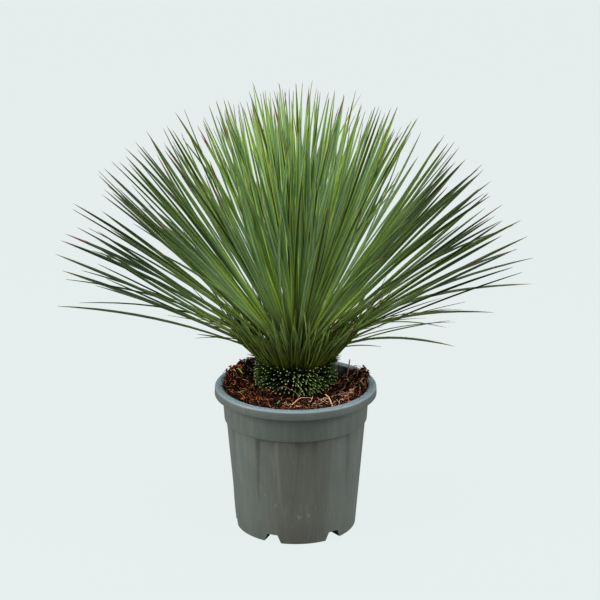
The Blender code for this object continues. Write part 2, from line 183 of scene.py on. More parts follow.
def flute_press(step, height):
    """Where a step of the turned pot stands as an azimuth, and how far it is pressed in."""
    flute, rest = divmod(step, 6 * FLUTE_CUTS)
    edge, cut = divmod(rest, FLUTE_CUTS)
    share = min(max((height - FLUTE_END) / (COLLAR_BOTTOM - FLUTE_END), 0.0), 1.0)
    low = between(FLUTE_EDGES_FOOT[edge], FLUTE_EDGES_TOP[edge], share)
    high = between(FLUTE_EDGES_FOOT[edge + 1], FLUTE_EDGES_TOP[edge + 1], share)
    offset = between(low, high, cut / FLUTE_CUTS)
    depth = (smooth(cut / FLUTE_CUTS), 1, 1, 1 - smooth(cut / FLUTE_CUTS), 0, 0)[edge]
    if height > COLLAR_BOTTOM + 0.0004:
        depth = 0
    azimuth = FLUTE_FIRST + (flute + offset) * 2 * pi / FLUTE_COUNT
    return azimuth, FLUTE_DEPTH * share * depth


def pot_profile():
    rim_under = POT_HEIGHT - RIM_THICK
    skirt_low = POT_HEIGHT - RIM_DEPTH
    foot_in = FOOT_RADIUS - WALL
    floor_top = FLOOR_UNDER + FLOOR_THICK
    heights = [between(FLUTE_END, COLLAR_BOTTOM, k / 6) for k in range(7)]
    inside = [(wall_radius(z) - WALL, z) for z in heights]
    outside = [(wall_radius(z), z) for z in reversed(heights)]
    corners = [
        (foot_in - 0.0004, floor_top),
        *inside,
        (COLLAR_BOTTOM_RADIUS - WALL, COLLAR_BOTTOM + 0.0045),
        (COLLAR_TOP_RADIUS - WALL, POT_HEIGHT - 0.0020),
        (COLLAR_TOP_RADIUS + 0.0018, POT_HEIGHT),
        (RIM_RADIUS - RIM_THICK, POT_HEIGHT),
        (RIM_RADIUS - 0.0006, POT_HEIGHT - 0.0022),
        (RIM_RADIUS, skirt_low),
        (RIM_RADIUS - WALL, skirt_low),
        (RIM_RADIUS - RIM_THICK, rim_under),
        (COLLAR_TOP_RADIUS + 0.0008, rim_under),
        (COLLAR_BOTTOM_RADIUS, COLLAR_BOTTOM + 0.0012),
        *outside,
        (FOOT_RADIUS, 0),
        (foot_in, 0),
        (foot_in, FLOOR_UNDER),
    ]
    points = [(0, floor_top), *corners, (0, FLOOR_UNDER)]
    return [points[0], *rounded(points, CORNER_ROUND)[1:-1], points[-1]]


def pot_cutter():
    """The wedges of the foot ring's notches and the drills of the drain holes, in one mesh."""
    cut = bmesh.new()
    for k in range(NOTCH_COUNT):
        azimuth = NOTCH_FIRST + k * 2 * pi / NOTCH_COUNT
        wedge = bmesh.ops.create_cube(cut, size=1)["verts"]
        for vertex in wedge:
            high = vertex.co.z > 0
            vertex.co.x = vertex.co.x * NOTCH_LENGTH + FOOT_RADIUS
            vertex.co.y *= NOTCH_WIDTH_HIGH if high else NOTCH_WIDTH_LOW
            vertex.co.z = NOTCH_HEIGHT if high else -NOTCH_OVERCUT
        bmesh.ops.rotate(cut, verts=wedge, matrix=Matrix.Rotation(azimuth, 3, "Z"))
        place = polar(azimuth, DRAIN_HOLE_RING, FLOOR_UNDER + FLOOR_THICK / 2)
        bmesh.ops.create_cone(
            cut,
            cap_ends=True,
            segments=32,
            radius1=DRAIN_HOLE_RADIUS,
            radius2=DRAIN_HOLE_RADIUS,
            depth=4 * FLOOR_THICK,
            matrix=Matrix.Translation(place),
        )
    return object_from(cut, "cutter")


def linear(*colour):
    """An sRGB colour of 0 to 255 as the linear colour that a shader takes."""
    shares = [c / 255 for c in colour]
    return (*[s / 12.92 if s < 0.04045 else ((s + 0.055) / 1.055) ** 2.4 for s in shares], 1)


class Nodes:
    """Short ways to add shader nodes. What they take is a plain value or another's output."""

    def __init__(self, tree):
        self.tree = tree

    def put(self, socket, value):
        if isinstance(value, bpy.types.NodeSocket):
            self.tree.links.new(value, socket)
        else:
            socket.default_value = value

    def node(self, kind, output, inputs, **settings):
        """One output of a new node with these inputs and settings."""
        step = self.tree.nodes.new("ShaderNode" + kind)
        for name, value in settings.items():
            setattr(step, name, value)
        for name, value in inputs.items():
            self.put(step.inputs[name], value)
        return step.outputs[output]

    def scaled(self, where, scale):
        return self.node("Mapping", "Vector", {"Vector": where, "Scale": scale})

    def place(self, scale=(1, 1, 1)):
        """Object coordinates, stretched."""
        return self.scaled(self.node("TexCoord", "Object", {}), scale)

    def uv(self, scale=(1, 1, 1)):
        return self.scaled(self.node("UVMap", "UV", {}), scale)

    def attribute(self, name, output="Fac"):
        return self.node("Attribute", output, {}, attribute_name=name)

    def part(self, value, name):
        """One of X, Y and Z of a vector, or of Red, Green and Blue of a colour."""
        return self.node("SeparateXYZ" if name in "XYZ" else "SeparateColor", name, {0: value})

    def noise(self, where, scale, detail, rough=0.5):
        inputs = {"Vector": where, "Scale": scale, "Detail": detail, "Roughness": rough}
        return self.node("TexNoise", "Fac", inputs)

    def span(self, value, low, high, start=0.0, end=1.0):
        """A value read as 0 to 1 between low and high, held at both ends."""
        names = ("Value", "From Min", "From Max", "To Min", "To Max")
        inputs = dict(zip(names, (value, low, high, start, end)))
        return self.node("MapRange", "Result", inputs, interpolation_type="SMOOTHSTEP")

    def length(self, vector):
        return self.node("VectorMath", "Value", {0: vector}, operation="LENGTH")

    def maths(self, operation, first, second=0.0):
        return self.node("Math", 0, {0: first, 1: second}, operation=operation)

    def times(self, first, second):
        return self.maths("MULTIPLY", first, second)

    def mix(self, share, first, second, kind="MIX"):
        inputs = {"Factor": share, 6: first, 7: second}
        return self.node("Mix", 2, inputs, data_type="RGBA", blend_type=kind)


class Finish(Nodes):
    """A Principled material. Its body is the colour that its steps have made so far."""

    def __init__(self, name, roughness, gloss=0.5):
        self.made = bpy.data.materials.new(name)
        self.made.use_nodes = True
        super().__init__(self.made.node_tree)
        self.shader = self.tree.nodes["Principled BSDF"]
        self.give("Roughness", roughness)
        self.give("Specular IOR Level", gloss)

    def give(self, name, value):
        """Gives the shader an input."""
        self.put(self.shader.inputs[name], value)

    def over(self, share, colour):
        """Lays a colour of 0 to 255 over the body."""
        self.body = self.mix(share, self.body, linear(*colour))

    def tint(self, value, low, high, most, colour):
        """Lays a colour over the body, up to a share of most where the value comes to high."""
        self.over(self.span(value, low, high, 0, most), colour)

    def multiply(self, value, low, high, most, factors):
        """Multiplies the body's red, green and blue, in the same way."""
        share = self.span(value, low, high, 0, most)
        self.body = self.mix(share, self.body, (*factors, 1), "MULTIPLY")

    def done(self):
        """The material, with the body as its colour."""
        self.give("Base Color", self.body)
        return self.made

    def bump(self, height, depth):
        """Relief of the given depth in metres, added over what is there."""
        inputs = {"Strength": 1, "Distance": depth, "Height": height}
        socket = self.shader.inputs["Normal"]
        if socket.links:
            inputs["Normal"] = socket.links[0].from_socket
        self.put(socket, self.node("Bump", "Normal", inputs))


def pot_finish():
    finish = Finish("pot_plastic", 0.5)
    where = finish.place()
    height = finish.part(where, "Z")
    lean = finish.times(height, INSIDE_SLOPE)
    depth = finish.maths("SUBTRACT", finish.length(finish.place((1, 1, 0))), lean)
    cloud = finish.noise(where, 14, 3)
    finish.body = finish.mix(cloud, linear(80, 86, 81), linear(91, 97, 90))
    streak = finish.noise(finish.place((60, 60, 7)), 1.5, 5, 0.65)
    finish.tint(streak, 0.45, 0.75, 0.35, (118, 116, 103))
    soil = finish.noise(where, 32, 6, 0.6)
    stained = finish.span(soil, 0.50, 0.72, 0, 0.45)
    low = finish.span(height, 0.03, 0.20, 1.0, 0.35)
    finish.over(finish.times(stained, low), (104, 92, 78))
    # Its front is a little browner, and darker as painted shade, with fine streaks and small marks
    front = finish.span(finish.part(where, "Y"), -0.080, -0.115)
    front = finish.times(front, finish.span(height, 0.205, 0.185))
    finish.over(finish.times(front, 0.6), (82, 78, 69))
    lines = finish.noise(finish.place((340, 340, 8)), 1, 3, 0.6)
    finish.tint(lines, 0.52, 0.70, 0.30, (112, 112, 100))
    marks = finish.noise(finish.place((90, 90, 60)), 1, 4, 0.7)
    marks = finish.times(finish.span(marks, 0.62, 0.70, 0, 0.5), front)
    marks = finish.times(marks, finish.span(height, 0.13, 0.09))
    finish.over(marks, (146, 138, 98))
    # The rim's side is painted darker as painted shade, and its top is painted pale as a painted
    # highlight from the light above
    finish.tint(height, POT_HEIGHT - 0.024, POT_HEIGHT - 0.018, 0.4, (64, 70, 68))
    finish.tint(height, POT_HEIGHT - 0.0045, POT_HEIGHT - 0.0005, 0.8, (114, 131, 136))
    where = {"Vector": finish.place((320, 320, 90)), "Scale": 1}
    scratch = finish.node("TexVoronoi", "Distance", where)
    finish.tint(scratch, 0.06, 0.0, 0.25, (140, 142, 132))
    # The inner wall above the collar's foot is painted near black: painted shade inside the pot
    painted_inner_shade = finish.span(depth, INSIDE_RADIUS + 0.0014, INSIDE_RADIUS + 0.0008, 0, 0.94)
    above = finish.span(height, COLLAR_BOTTOM + 0.003, COLLAR_BOTTOM + 0.006)
    finish.over(finish.times(painted_inner_shade, above), (24, 31, 34))
    finish.give("Roughness", finish.span(soil, 0.3, 0.8, 0.42, 0.62))
    finish.bump(finish.noise(finish.place(), 900, 2), 0.00012)
    finish.bump(streak, 0.0004)
    return finish.done()


shell = turned(pot_profile(), POT_STEPS)
for vertex in shell.verts:
    distance = hypot(vertex.co.x, vertex.co.y)
    if distance > 0.001:
        step = round(atan2(vertex.co.y, vertex.co.x) / (2 * pi) * POT_STEPS)
        azimuth, press = flute_press(step % POT_STEPS, vertex.co.z)
        vertex.co = polar(azimuth, distance - press, vertex.co.z)
pot = piece_from(shell, "pot_shell")
cut_from(pot, pot_cutter())
pot.data.shade_smooth()
pot.data.set_sharp_from_angle(angle=radians(32))
pot.data.materials.clear()
pot.data.materials.append(pot_finish())
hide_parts("nursery_pot")

# Walls behind the notches
# A short channel runs inward from each notch of the foot ring. Its two thin side walls are painted
# near black as painted shade, and they show as dark corners of the notches.
CHANNEL_LENGTH = 0.020
CHANNEL_WALL = 0.0012
CHANNEL_GAP = 0.0003

channels = bmesh.new()
for k in range(2 * NOTCH_COUNT):
    azimuth = NOTCH_FIRST + (k // 2) * 2 * pi / NOTCH_COUNT
    side = 1 if k % 2 else -1
    wall = bmesh.ops.create_cube(channels, size=1)["verts"]
    for vertex in wall:
        height = FLOOR_UNDER - CHANNEL_GAP if vertex.co.z > 0 else CHANNEL_GAP
        share = (height + NOTCH_OVERCUT) / (NOTCH_HEIGHT + NOTCH_OVERCUT)
        half = between(NOTCH_WIDTH_LOW, NOTCH_WIDTH_HIGH, share) / 2
        vertex.co.x = FOOT_RADIUS - WALL - CHANNEL_GAP + (vertex.co.x - 0.5) * CHANNEL_LENGTH
        vertex.co.y = side * (half + (vertex.co.y + 0.5) * CHANNEL_WALL)
        vertex.co.z = height
    bmesh.ops.rotate(channels, verts=wall, matrix=Matrix.Rotation(azimuth, 3, "Z"))
bmesh.ops.recalc_face_normals(channels, faces=channels.faces[:])
finish = Finish("notch_shade", 0.7, 0.1)
finish.give("Base Color", linear(16, 17, 15))
piece_from(channels, "notch_walls", finish.made, sharp=30)

# Potting mix
# Composted bark and coconut fibre, poured in loose and never quite levelled: heaped at the
# back left and the right, low at the back right. The stem stands in a plain hole in it.

GAP = 0.0003
STEM_RADIUS = 0.0360
STEM_FOOT = 0.1850
STEM_FOOT_RADIUS = 0.0280
STEM_FOOT_RISE = 0.0145
MIX_STEPS = 240
MIX_RINGS = 44
MIX_AT_STEM = 0.2490
MIX_AT_RIM = 0.2505
MIX_HEAPS = ((140, 60, 0.0130), (3, 32, 0.0115), (54, 36, -0.0170))
MIX_CALM_RADIUS = 0.078
MIX_HEAP_RADIUS = 0.112
MIX_CALM_WIDTH = 0.05
# The height of the clods and of the crumbs, then how fine their waves are and their shares
MIX_CLODS = (0.0022, ((95, 1), (210, 0.7)))
MIX_CRUMBS = (0.0034, ((170, 0.8), (380, 1), (800, 0.5)))
# Loose heaps over the rim: azimuth, half-width and rise, beyond the radius where they start
MIX_PILES = ((15, 26, 0.0085), (138, 34, 0.0030), (188, 46, 0.0050))
MIX_PILE_START = 0.092
MIX_PILE_WIDTH = 0.018
# Loose bits rest on the pot's rim outside this radius, and at this height
RIM_REST_RADIUS = COLLAR_TOP_RADIUS - 0.0025
RIM_REST_HEIGHT = POT_HEIGHT + 0.0006


def bump(azimuth, middle, half_width):
    """1 at the middle azimuth, falling smoothly to 0 at half_width from it, in degrees."""
    off = abs((degrees(azimuth) - middle + 180) % 360 - 180)
    return smooth(1 - off / half_width)


def mix_height(azimuth, radius):
    """The top of the mix without its relief."""
    edge = MIX_AT_RIM
    for middle, half_width, rise in MIX_HEAPS:
        edge += rise * bump(azimuth, middle, half_width)
    share = (radius - MIX_CALM_RADIUS) / (MIX_HEAP_RADIUS - MIX_CALM_RADIUS)
    return between(MIX_AT_STEM, edge, smooth(share))


def mix_top(x, y):
    """The top of the mix at a place, with its clods and crumbs."""
    radius = hypot(x, y)
    spot = Vector((x, y, MIX_AT_STEM))
    relief = 0
    for height, waves in (MIX_CLODS, MIX_CRUMBS):
        relief += height * sum(share * noise.noise(spot * fine) for fine, share in waves)
    calm = smooth((radius - STEM_RADIUS) / MIX_CALM_WIDTH)
    azimuth = atan2(y, x)
    pile = sum(rise * bump(azimuth, middle, half) for middle, half, rise in MIX_PILES)
    pile *= smooth((radius - MIX_PILE_START) / MIX_PILE_WIDTH)
    return mix_height(azimuth, radius) + pile + calm * relief


def lying_top(x, y):
    """What a loose bit rests on: the mix, or the pot's rim where the bit hangs over it."""
    on_rim = RIM_REST_HEIGHT if hypot(x, y) > RIM_REST_RADIUS else 0
    return max(mix_top(x, y), on_rim)


def mix_profile():
    hole = STEM_RADIUS + GAP
    floor = FLOOR_UNDER + FLOOR_THICK + GAP
    clear = WALL + 2 * GAP
    edge = COLLAR_TOP_RADIUS - clear - 0.0010
    return [
        (0, STEM_FOOT - GAP),
        (STEM_FOOT_RADIUS + 2 * GAP, STEM_FOOT - GAP),
        (hole, STEM_FOOT + STEM_FOOT_RISE - 2 * GAP),
        *[(between(hole, edge, k / MIX_RINGS), MIX_AT_STEM) for k in range(MIX_RINGS + 1)],
        (COLLAR_BOTTOM_RADIUS - clear, COLLAR_BOTTOM + 0.0080),
        (wall_radius(COLLAR_BOTTOM) - clear - FLUTE_DEPTH, COLLAR_BOTTOM),
        (wall_radius(FLUTE_END) - clear, FLUTE_END),
        (FOOT_RADIUS - clear - 0.0006, floor),
        (0, floor),
    ]


def mix_finish():
    finish = Finish("mix_of_bark", 0.92, 0.08)
    where = finish.place()
    # The ground is dark brown, nearly black where the crumbs are low: partly the mix's own colour,
    # partly painted shade in the pits between the loose bits
    crumbs = finish.noise(where, 260, 5, 0.65)
    share = finish.span(crumbs, 0.44, 0.72)
    finish.body = finish.mix(share, linear(5, 2, 1), linear(74, 36, 20))
    finish.tint(finish.noise(where, 60, 3), 0.45, 0.7, 0.6, (20, 8, 4))
    finish.bump(crumbs, 0.0015)
    return finish.done()


mound = turned(mix_profile(), MIX_STEPS)
for vertex in mound.verts:
    if vertex.co.z > MIX_AT_STEM - GAP:
        vertex.co.z = mix_top(vertex.co.x, vertex.co.y)
mix = piece_from(mound, "mix_mound", mix_finish())
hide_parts("potting_mix")

# Fibres and bark on the mix
# The coarse part of the same mix, which lies loose on top: stringy red-brown fibres in all
# directions, and short bark chips, some of them over the pot's rim.

GOLDEN_ANGLE = pi * (3 - sqrt(5))
# How far from a cut a bar without one counts, in metres
NO_CUT = 0.006
# The azimuths where loose bits hang over the rim, with half-width and how far they reach
SPILLS = ((165, 62, 0.0055), (12, 30, 0.0065), (-25, 25, 0.0030))
# Loose bits lie between these radii, and fibres beyond the third one lie along the rim
FIBRE_RADII = (0.050, 0.1205, 0.112)
FIBRE_LENGTH = (0.005, 0.020)
FIBRE_HALF = (0.0004, 0.0013)
FIBRE_ARCH = (-0.0010, 0.0046)
FIBRE_COUNT = 3400
FIBRE_SEED = 11
CHIP_RADII = (0.052, 0.119)
CHIP_COUNT = 900
CHIP_SEED = 12
# The larger pieces over the rim: their radii, and the azimuths that they stand round
RIM_CHIP_RADII = (0.114, 0.125)
RIM_CHIP_MIDDLES = (158, 5)
RIM_CHIP_COUNT = 30
# How far a chip stands up, its half-width, half-thickness and length, all in millimetres,
# then its tilt and its tone, each as a least and a most
CHIP = ((-1.2, 1.8), (0.8, 2.6), (0.6, 1.5), (3, 10), (0.9, 2.2), (0, 1))
RIM_CHIP = ((1, 6), (1.2, 2.8), (0.8, 1.7), (6, 13), (0.4, 2.7), (0.2, 0.9))


class Draw(random.Random):
    """A seeded draw, which also draws angles given in degrees."""

    def lean(self, spread):
        return radians(self.gauss(0, spread))

    def angle(self, low, high):
        return radians(self.uniform(low, high))

    def golden(self, count, spread, start=0.0):
        """The share and azimuth of each of a count of things on the golden angle."""
        for k in range(count):
            yield (k + 0.5) / count, (k + start) * GOLDEN_ANGLE + self.lean(spread)


def bar(sides, stations):
    """A closed bar from z 0 to z 1 with a round section of 1, and a ring at each station."""
    bm = bmesh.new()
    bmesh.ops.create_cone(bm, cap_ends=True, segments=sides, radius1=1, radius2=1, depth=1)
    bmesh.ops.translate(bm, verts=bm.verts, vec=(0, 0, 0.5))
    for height in stations:
        geom = bm.verts[:] + bm.edges[:] + bm.faces[:]
        bmesh.ops.bisect_plane(bm, geom=geom, plane_co=(0, 0, height), plane_no=(0, 0, 1))
    bm.loops.layers.uv.new("UVMap")
    bm.verts.layers.float_color.new("draws")
    bm.verts.layers.float.new("length")
    return bm


def add_bar(whole, pattern, place, draws, length=0.0, point=None):
    """Adds a copy of a bar to a bmesh. place gives where (share, x, y) of the bar goes.

    Its UV runs across from 0 to 1 on the upper side and from 1 to 2 on the under side.
    """
    made = pattern.copy()
    uv = made.loops.layers.uv["UVMap"]
    for face in made.faces:
        under = face.calc_center_median().y < 0
        for loop in face.loops:
            loop[uv].uv = (0.5 + 0.5 * loop.vert.co.x + under, loop.vert.co.z)
    kept = made.verts.layers.float_color["draws"]
    metres = made.verts.layers.float["length"]
    tip = [vertex for vertex in made.verts if vertex.co.z > 0.9999]
    for vertex in made.verts:
        vertex[kept] = (*draws, 1)[:4]
        vertex[metres] = length * (1 - vertex.co.z) if length else NO_CUT
        vertex.co = place(vertex.co.z, vertex.co.x, vertex.co.y)
    if point is not None:
        bmesh.ops.pointmerge(made, verts=tip, merge_co=point)
    mesh = bpy.data.meshes.new("bar")
    made.to_mesh(mesh)
    made.free()
    whole.from_mesh(mesh)
    bpy.data.meshes.remove(mesh)


def even(count):
    """Shares that cut a bar into even lengths."""
    return [k / count for k in range(1, count)]


def lying(x, y, heading, length, bend, arch, radius, flat):
    """How a bent strand lies on the mix: it follows the top and arches over it a little."""

    def place(share, across, up):
        along = (share - 0.5) * length
        sway = bend * (share - 0.5) ** 2 * length
        turn = heading + 2 * bend * (share - 0.5)
        px = x + cos(heading) * along - sin(heading) * sway
        py = y + sin(heading) * along + cos(heading) * sway
        lift = radius * flat + arch * 4 * share * (1 - share)
        taper = radius * (1 - 0.6 * abs(2 * share - 1) ** 3)
        side = Vector((-sin(turn), cos(turn), 0))
        spot = Vector((px, py, lying_top(px, py) + lift))
        return spot + side * (across * taper) + Vector((0, 0, up * taper * flat))

    return place


def fibre_finish(name, dark, light, roughness):
    finish = Finish(name, roughness, 0.1)
    tone = finish.part(finish.attribute("draws", "Color"), "Red")
    finish.body = finish.mix(tone, linear(*dark), linear(*light))
    where = finish.place()
    grain = finish.noise(where, 420, 4)
    finish.tint(grain, 0.35, 0.7, 0.7, dark)
    # The mix is painted lighter at the left: painted light
    finish.multiply(finish.part(where, "X"), -0.01, -0.06, 1, (1.7, 1.6, 1.5))
    finish.bump(grain, 0.0004)
    return finish.done()


def spill(azimuth):
    """How far loose bits lie out over the rim at an azimuth."""
    return max(reach * bump(azimuth, middle, half) for middle, half, reach in SPILLS)


draw = Draw(FIBRE_SEED)
pattern = bar(3, even(4))
fibres = bmesh.new()
least, most, near_rim = FIBRE_RADII
for k in range(FIBRE_COUNT):
    azimuth = draw.uniform(0, 2 * pi)
    radius = sqrt(draw.uniform(least**2, (most + spill(azimuth)) ** 2))
    spot = polar(azimuth, radius)
    length = draw.uniform(*FIBRE_LENGTH)
    if radius > near_rim:
        heading = azimuth + pi / 2 + draw.gauss(0, 0.45)
    else:
        heading = draw.uniform(0, 2 * pi)
    half = draw.uniform(*FIBRE_HALF)
    arch = draw.uniform(*FIBRE_ARCH)
    bend = draw.gauss(0, 0.9)
    place = lying(spot.x, spot.y, heading, length, bend, arch, half, draw.uniform(0.5, 1))
    add_bar(fibres, pattern, place, (draw.random() ** 5, draw.random(), 0))
finish = fibre_finish("mix_fibre", (11, 4, 2), (172, 104, 64), 0.8)
piece_from(fibres, "mix_fibres", finish)


def add_chip(spot, kind, power):
    rise, *sizes, tilt, tone = kind
    spot.z = lying_top(spot.x, spot.y) + draw.uniform(*rise) / 1000
    size = Vector([draw.uniform(*limits) / 1000 for limits in sizes])
    turn = Matrix.Rotation(draw.uniform(0, 6.3), 3, "Z")
    turn = turn @ Matrix.Rotation(draw.uniform(*tilt), 3, "X")
    lean = draw.uniform(0.4, 0.9)

    def place(share, across, up):
        grow = between(1, lean, share)
        return spot + turn @ (size * Vector((across * grow, up * grow, share - 0.5)))

    add_bar(chips, pattern, place, (between(*tone, draw.random() ** power), draw.random(), 0))


draw = Draw(CHIP_SEED)
pattern = bar(5, ())
chips = bmesh.new()
least, most = CHIP_RADII
for k in range(CHIP_COUNT):
    azimuth = k * GOLDEN_ANGLE
    radius = sqrt(draw.uniform(least**2, (most + spill(azimuth)) ** 2))
    add_chip(polar(azimuth, radius), CHIP, 4)
for k in range(RIM_CHIP_COUNT):
    azimuth = radians(RIM_CHIP_MIDDLES[k % 2] + draw.gauss(0, 8))
    add_chip(polar(azimuth, draw.uniform(*RIM_CHIP_RADII)), RIM_CHIP, 1)
finish = fibre_finish("mix_chip", (12, 4, 3), (134, 74, 44), 0.9)
piece_from(chips, "mix_chips", finish, sharp=30)

# Straw and clippings
# Dry strips of old leaf and short green offcuts from trimming, dropped on the mix. The long
# strips lean on the stubs in front, and one stands up at the back right.

TAN = (232, 172, 122)
RUST = (122, 66, 44)
GREY = (172, 164, 152)
LEAF_SCRAP = (190, 236, 138)
# Half-width, colour, then points as x, y and height over the mix, all in millimetres
STRIPS = (
    (1.1, TAN, (-11.7, -106.6, 2), (-2.7, -96, 5), (7.4, -89, 10), (19.1, -86, 13.5), (27.5, -80, 11)),
    (1.1, TAN, (50, -78, 13), (56.3, -90, 8), (62.4, -106.6, 2.5)),
    (0.8, (176, 112, 78), (36, -82, 9.5), (44.6, -90, 6), (54.1, -101.9, 2.5)),
    (0.6, TAN, (22.5, -90, 3), (26.2, -84, 8), (29, -78, 12)),
    (0.7, RUST, (-19.6, -79, 29), (-7.8, -81.5, 24), (0.7, -83, 19), (8.5, -87, 12)),
    (0.6, RUST, (-30, -79, 26), (-19.6, -79.5, 29), (-7.8, -82.5, 22.5)),
    (1, GREY, (96.3, -34.3, 4), (88.9, -53.9, 2), (81.7, -68.5, 3)),
    (0.7, (160, 96, 70), (86.8, 52, 6), (79.1, 26.1, 3), (71.5, 0.6, 2)),
    (1.2, (222, 164, 124), (89, 33, 2), (92.2, 38, 12), (93.8, 42, 21), (94.2, 44, 30)),
    (0.6, (150, 112, 84), (99, 50, 6), (104, 40, 11), (108, 20, 6), (106, 4, 3)),
    (0.7, (170, 120, 84), (92, 60, 9), (104, 52, 13), (115, 36, 9)),
    (0.7, (150, 98, 66), (64, -90, 2), (76, -83, 5), (90, -72, 2)),
    (0.6, (178, 128, 92), (15, -109, 2), (30, -103, 4), (46, -106, 2)),
    (0.6, (168, 108, 74), (-5, -113, 2), (8, -110, 4), (24, -112, 2)),
    (1.1, LEAF_SCRAP, (-102.8, 46.8, 4), (-97.5, 38, 5), (-91.8, 31.2, 4)),
    (1.3, LEAF_SCRAP, (-94.6, -46.6, 3), (-90, -36, 5), (-85, -24.4, 3)),
    (1.1, (156, 196, 116), (82.3, 15.9, 4), (88.5, 8, 5), (94, 0.6, 4)),
    (1.4, (124, 182, 96), (-31.6, -86, 3), (-28, -83, 5), (-24.9, -80, 4)),
    (0.9, (116, 162, 92), (-85.5, 57.2, 4), (-82, 53, 5), (-78.3, 49.4, 4)),
    (1.1, (156, 196, 116), (29.3, -88, 3), (32, -92, 5), (35.9, -96, 3)),
    (0.9, (116, 162, 92), (-90, 76, 4), (-88, 70, 6), (-89, 64, 4)),
)
STRIP_HALF_THICK = 0.0004
STRAW_COUNT = 120
STRAW_SEED = 13
# The azimuths that the straws lie round, the radii that they lie between, and their sizes
STRAW_MIDDLES = (-72, -60, -40, -20, 10, 30, 150)
STRAW_RADII = (0.084, 0.117)
STRAW_LENGTH = (0.008, 0.026)
STRAW_HALF = (0.0003, 0.0006)
STRAW_ARCH = (0.002, 0.007)
STRAW_DARK = linear(150, 84, 52)
STRAW_LIGHT = linear(246, 200, 152)


def along(points, share):
    """A point and a heading on a smooth curve that runs through the given points."""
    spans = len(points) - 1
    k = min(int(share * spans), spans - 1)
    t = share * spans - k
    before, start, end, after = (points[min(max(k + j, 0), spans)] for j in (-1, 0, 1, 2))
    spot = 0.5 * (
        2 * start
        + (end - before) * t
        + (2 * before - 5 * start + 4 * end - after) * t**2
        + (3 * start - before - 3 * end + after) * t**3
    )
    return spot, (end - start).normalized()


def strip_place(points, half):
    def place(share, across, up):
        spot, ahead = along(points, share)
        side = ahead.cross(Vector((0, 0, 1)))
        side = side.normalized() if side.length > 0.2 else Vector((1, 0, 0))
        face = side.cross(ahead)
        taper = 1 - 0.45 * abs(2 * share - 1) ** 4
        return spot + side * (across * half * taper) + face * (up * STRIP_HALF_THICK)

    return place


def strip_finish():
    finish = Finish("dry_strip", 0.6)
    finish.body = finish.attribute("draws", "Color")
    grain = finish.noise(finish.place(), 900, 3)
    finish.tint(grain, 0.3, 0.75, 0.55, (96, 58, 38))
    finish.bump(grain, 0.0003)
    return finish.done()


strips = bmesh.new()
pattern = bar(4, even(9))
for half, shade, *points in STRIPS:
    points = [Vector(point) / 1000 for point in points]
    for point in points:
        point.z += mix_top(point.x, point.y)
    add_bar(strips, pattern, strip_place(points, half / 1000), linear(*shade))
draw = Draw(STRAW_SEED)
pattern = bar(3, even(5))
for k in range(STRAW_COUNT):
    azimuth = radians(draw.choice(STRAW_MIDDLES) + draw.gauss(0, 22))
    spot = polar(azimuth, draw.uniform(*STRAW_RADII))
    heading = draw.uniform(0, pi)
    length = draw.uniform(*STRAW_LENGTH)
    bend = draw.gauss(0, 0.8)
    arch = draw.uniform(*STRAW_ARCH)
    half = draw.uniform(*STRAW_HALF)
    place = lying(spot.x, spot.y, heading, length, bend, arch, half, 0.8)
    tone = draw.random()
    shade = [between(dark, light, tone) for dark, light in zip(STRAW_DARK, STRAW_LIGHT)]
    add_bar(strips, pattern, place, shade)
piece_from(strips, "straw_and_clippings", strip_finish(), sharp=40)

# Stem and stubs
# The short stem, whose old leaves were cut back to stubs all round. Each stub is a stiff
# green leaf base that ends in a pale round cut. The stem's foot stands in the mix.

STEM_TOP = 0.2965
STUB_COUNT = 180
STUB_FILL = 2
STUB_REACH = 0.0722
STUB_LOW = 0.2655
STUB_HIGH = 0.2925
STUB_ANGLE_LOW = radians(-10)
STUB_ANGLE_HIGH = radians(19)
STUB_TURNS = 182
STUB_ROOT_TOP = 0.2935
STUB_HALF_WIDTH = 0.00115
STUB_HALF_THICK = 0.0010
STUB_SINK = 0.005
# How wide a stub's end face is, as a share of the stub, and where its edge starts
STUB_END = 0.60
STUB_EDGE = 0.988
STUB_LENGTH = STUB_REACH - STEM_RADIUS + STUB_SINK
STUB_SEED = 3
STUB_LOOK_SEED = 4
# Short pointed leaf ends without a cut, which stand between the stubs and the living leaves
STUMP_COUNT = 260
STUMP_ANGLE_LOW = radians(12)
STUMP_ANGLE_HIGH = radians(46)
STUMP_LONGER_AT_SIDES = 0.08
# Where a stump starts to taper, and where its point is, as shares of its length
STUMP_TAPER = 0.85
STUMP_POINT = 1.02
STUMP_SEED = 6
# A tuft of stubs in front that was pressed down and to the right. Each of its rows starts
# lower on the stem, a little further right and steeper, in metres and degrees.
DROOPING_ROWS = 6
DROOPING_COLUMNS = 5
DROOPING_FIRST = (-103, -4)
DROOPING_ROW_DROP = 0.0035
DROOPING_ROW_TURN = 2.0
DROOPING_ROW_TILT = 6.5
DROOPING_COLUMN_TURN = 8.5
DROOPING_SEED = 7


def stub_place(azimuth, angle, height, length, roll, turn=0.0):
    ahead = polar(azimuth + turn, cos(angle), sin(angle))
    side = polar(azimuth + turn + pi / 2, 1)
    up = ahead.cross(side)
    across = side * cos(roll) + up * sin(roll)
    face = ahead.cross(across)
    root = polar(azimuth, STEM_RADIUS - STUB_SINK, height)

    def place(share, x, y):
        round_end = STUB_END if share > 0.999 else 1
        wide = x * STUB_HALF_WIDTH * round_end
        thick = y * STUB_HALF_THICK * round_end
        return root + ahead * (share * length) + across * wide + face * thick

    return place


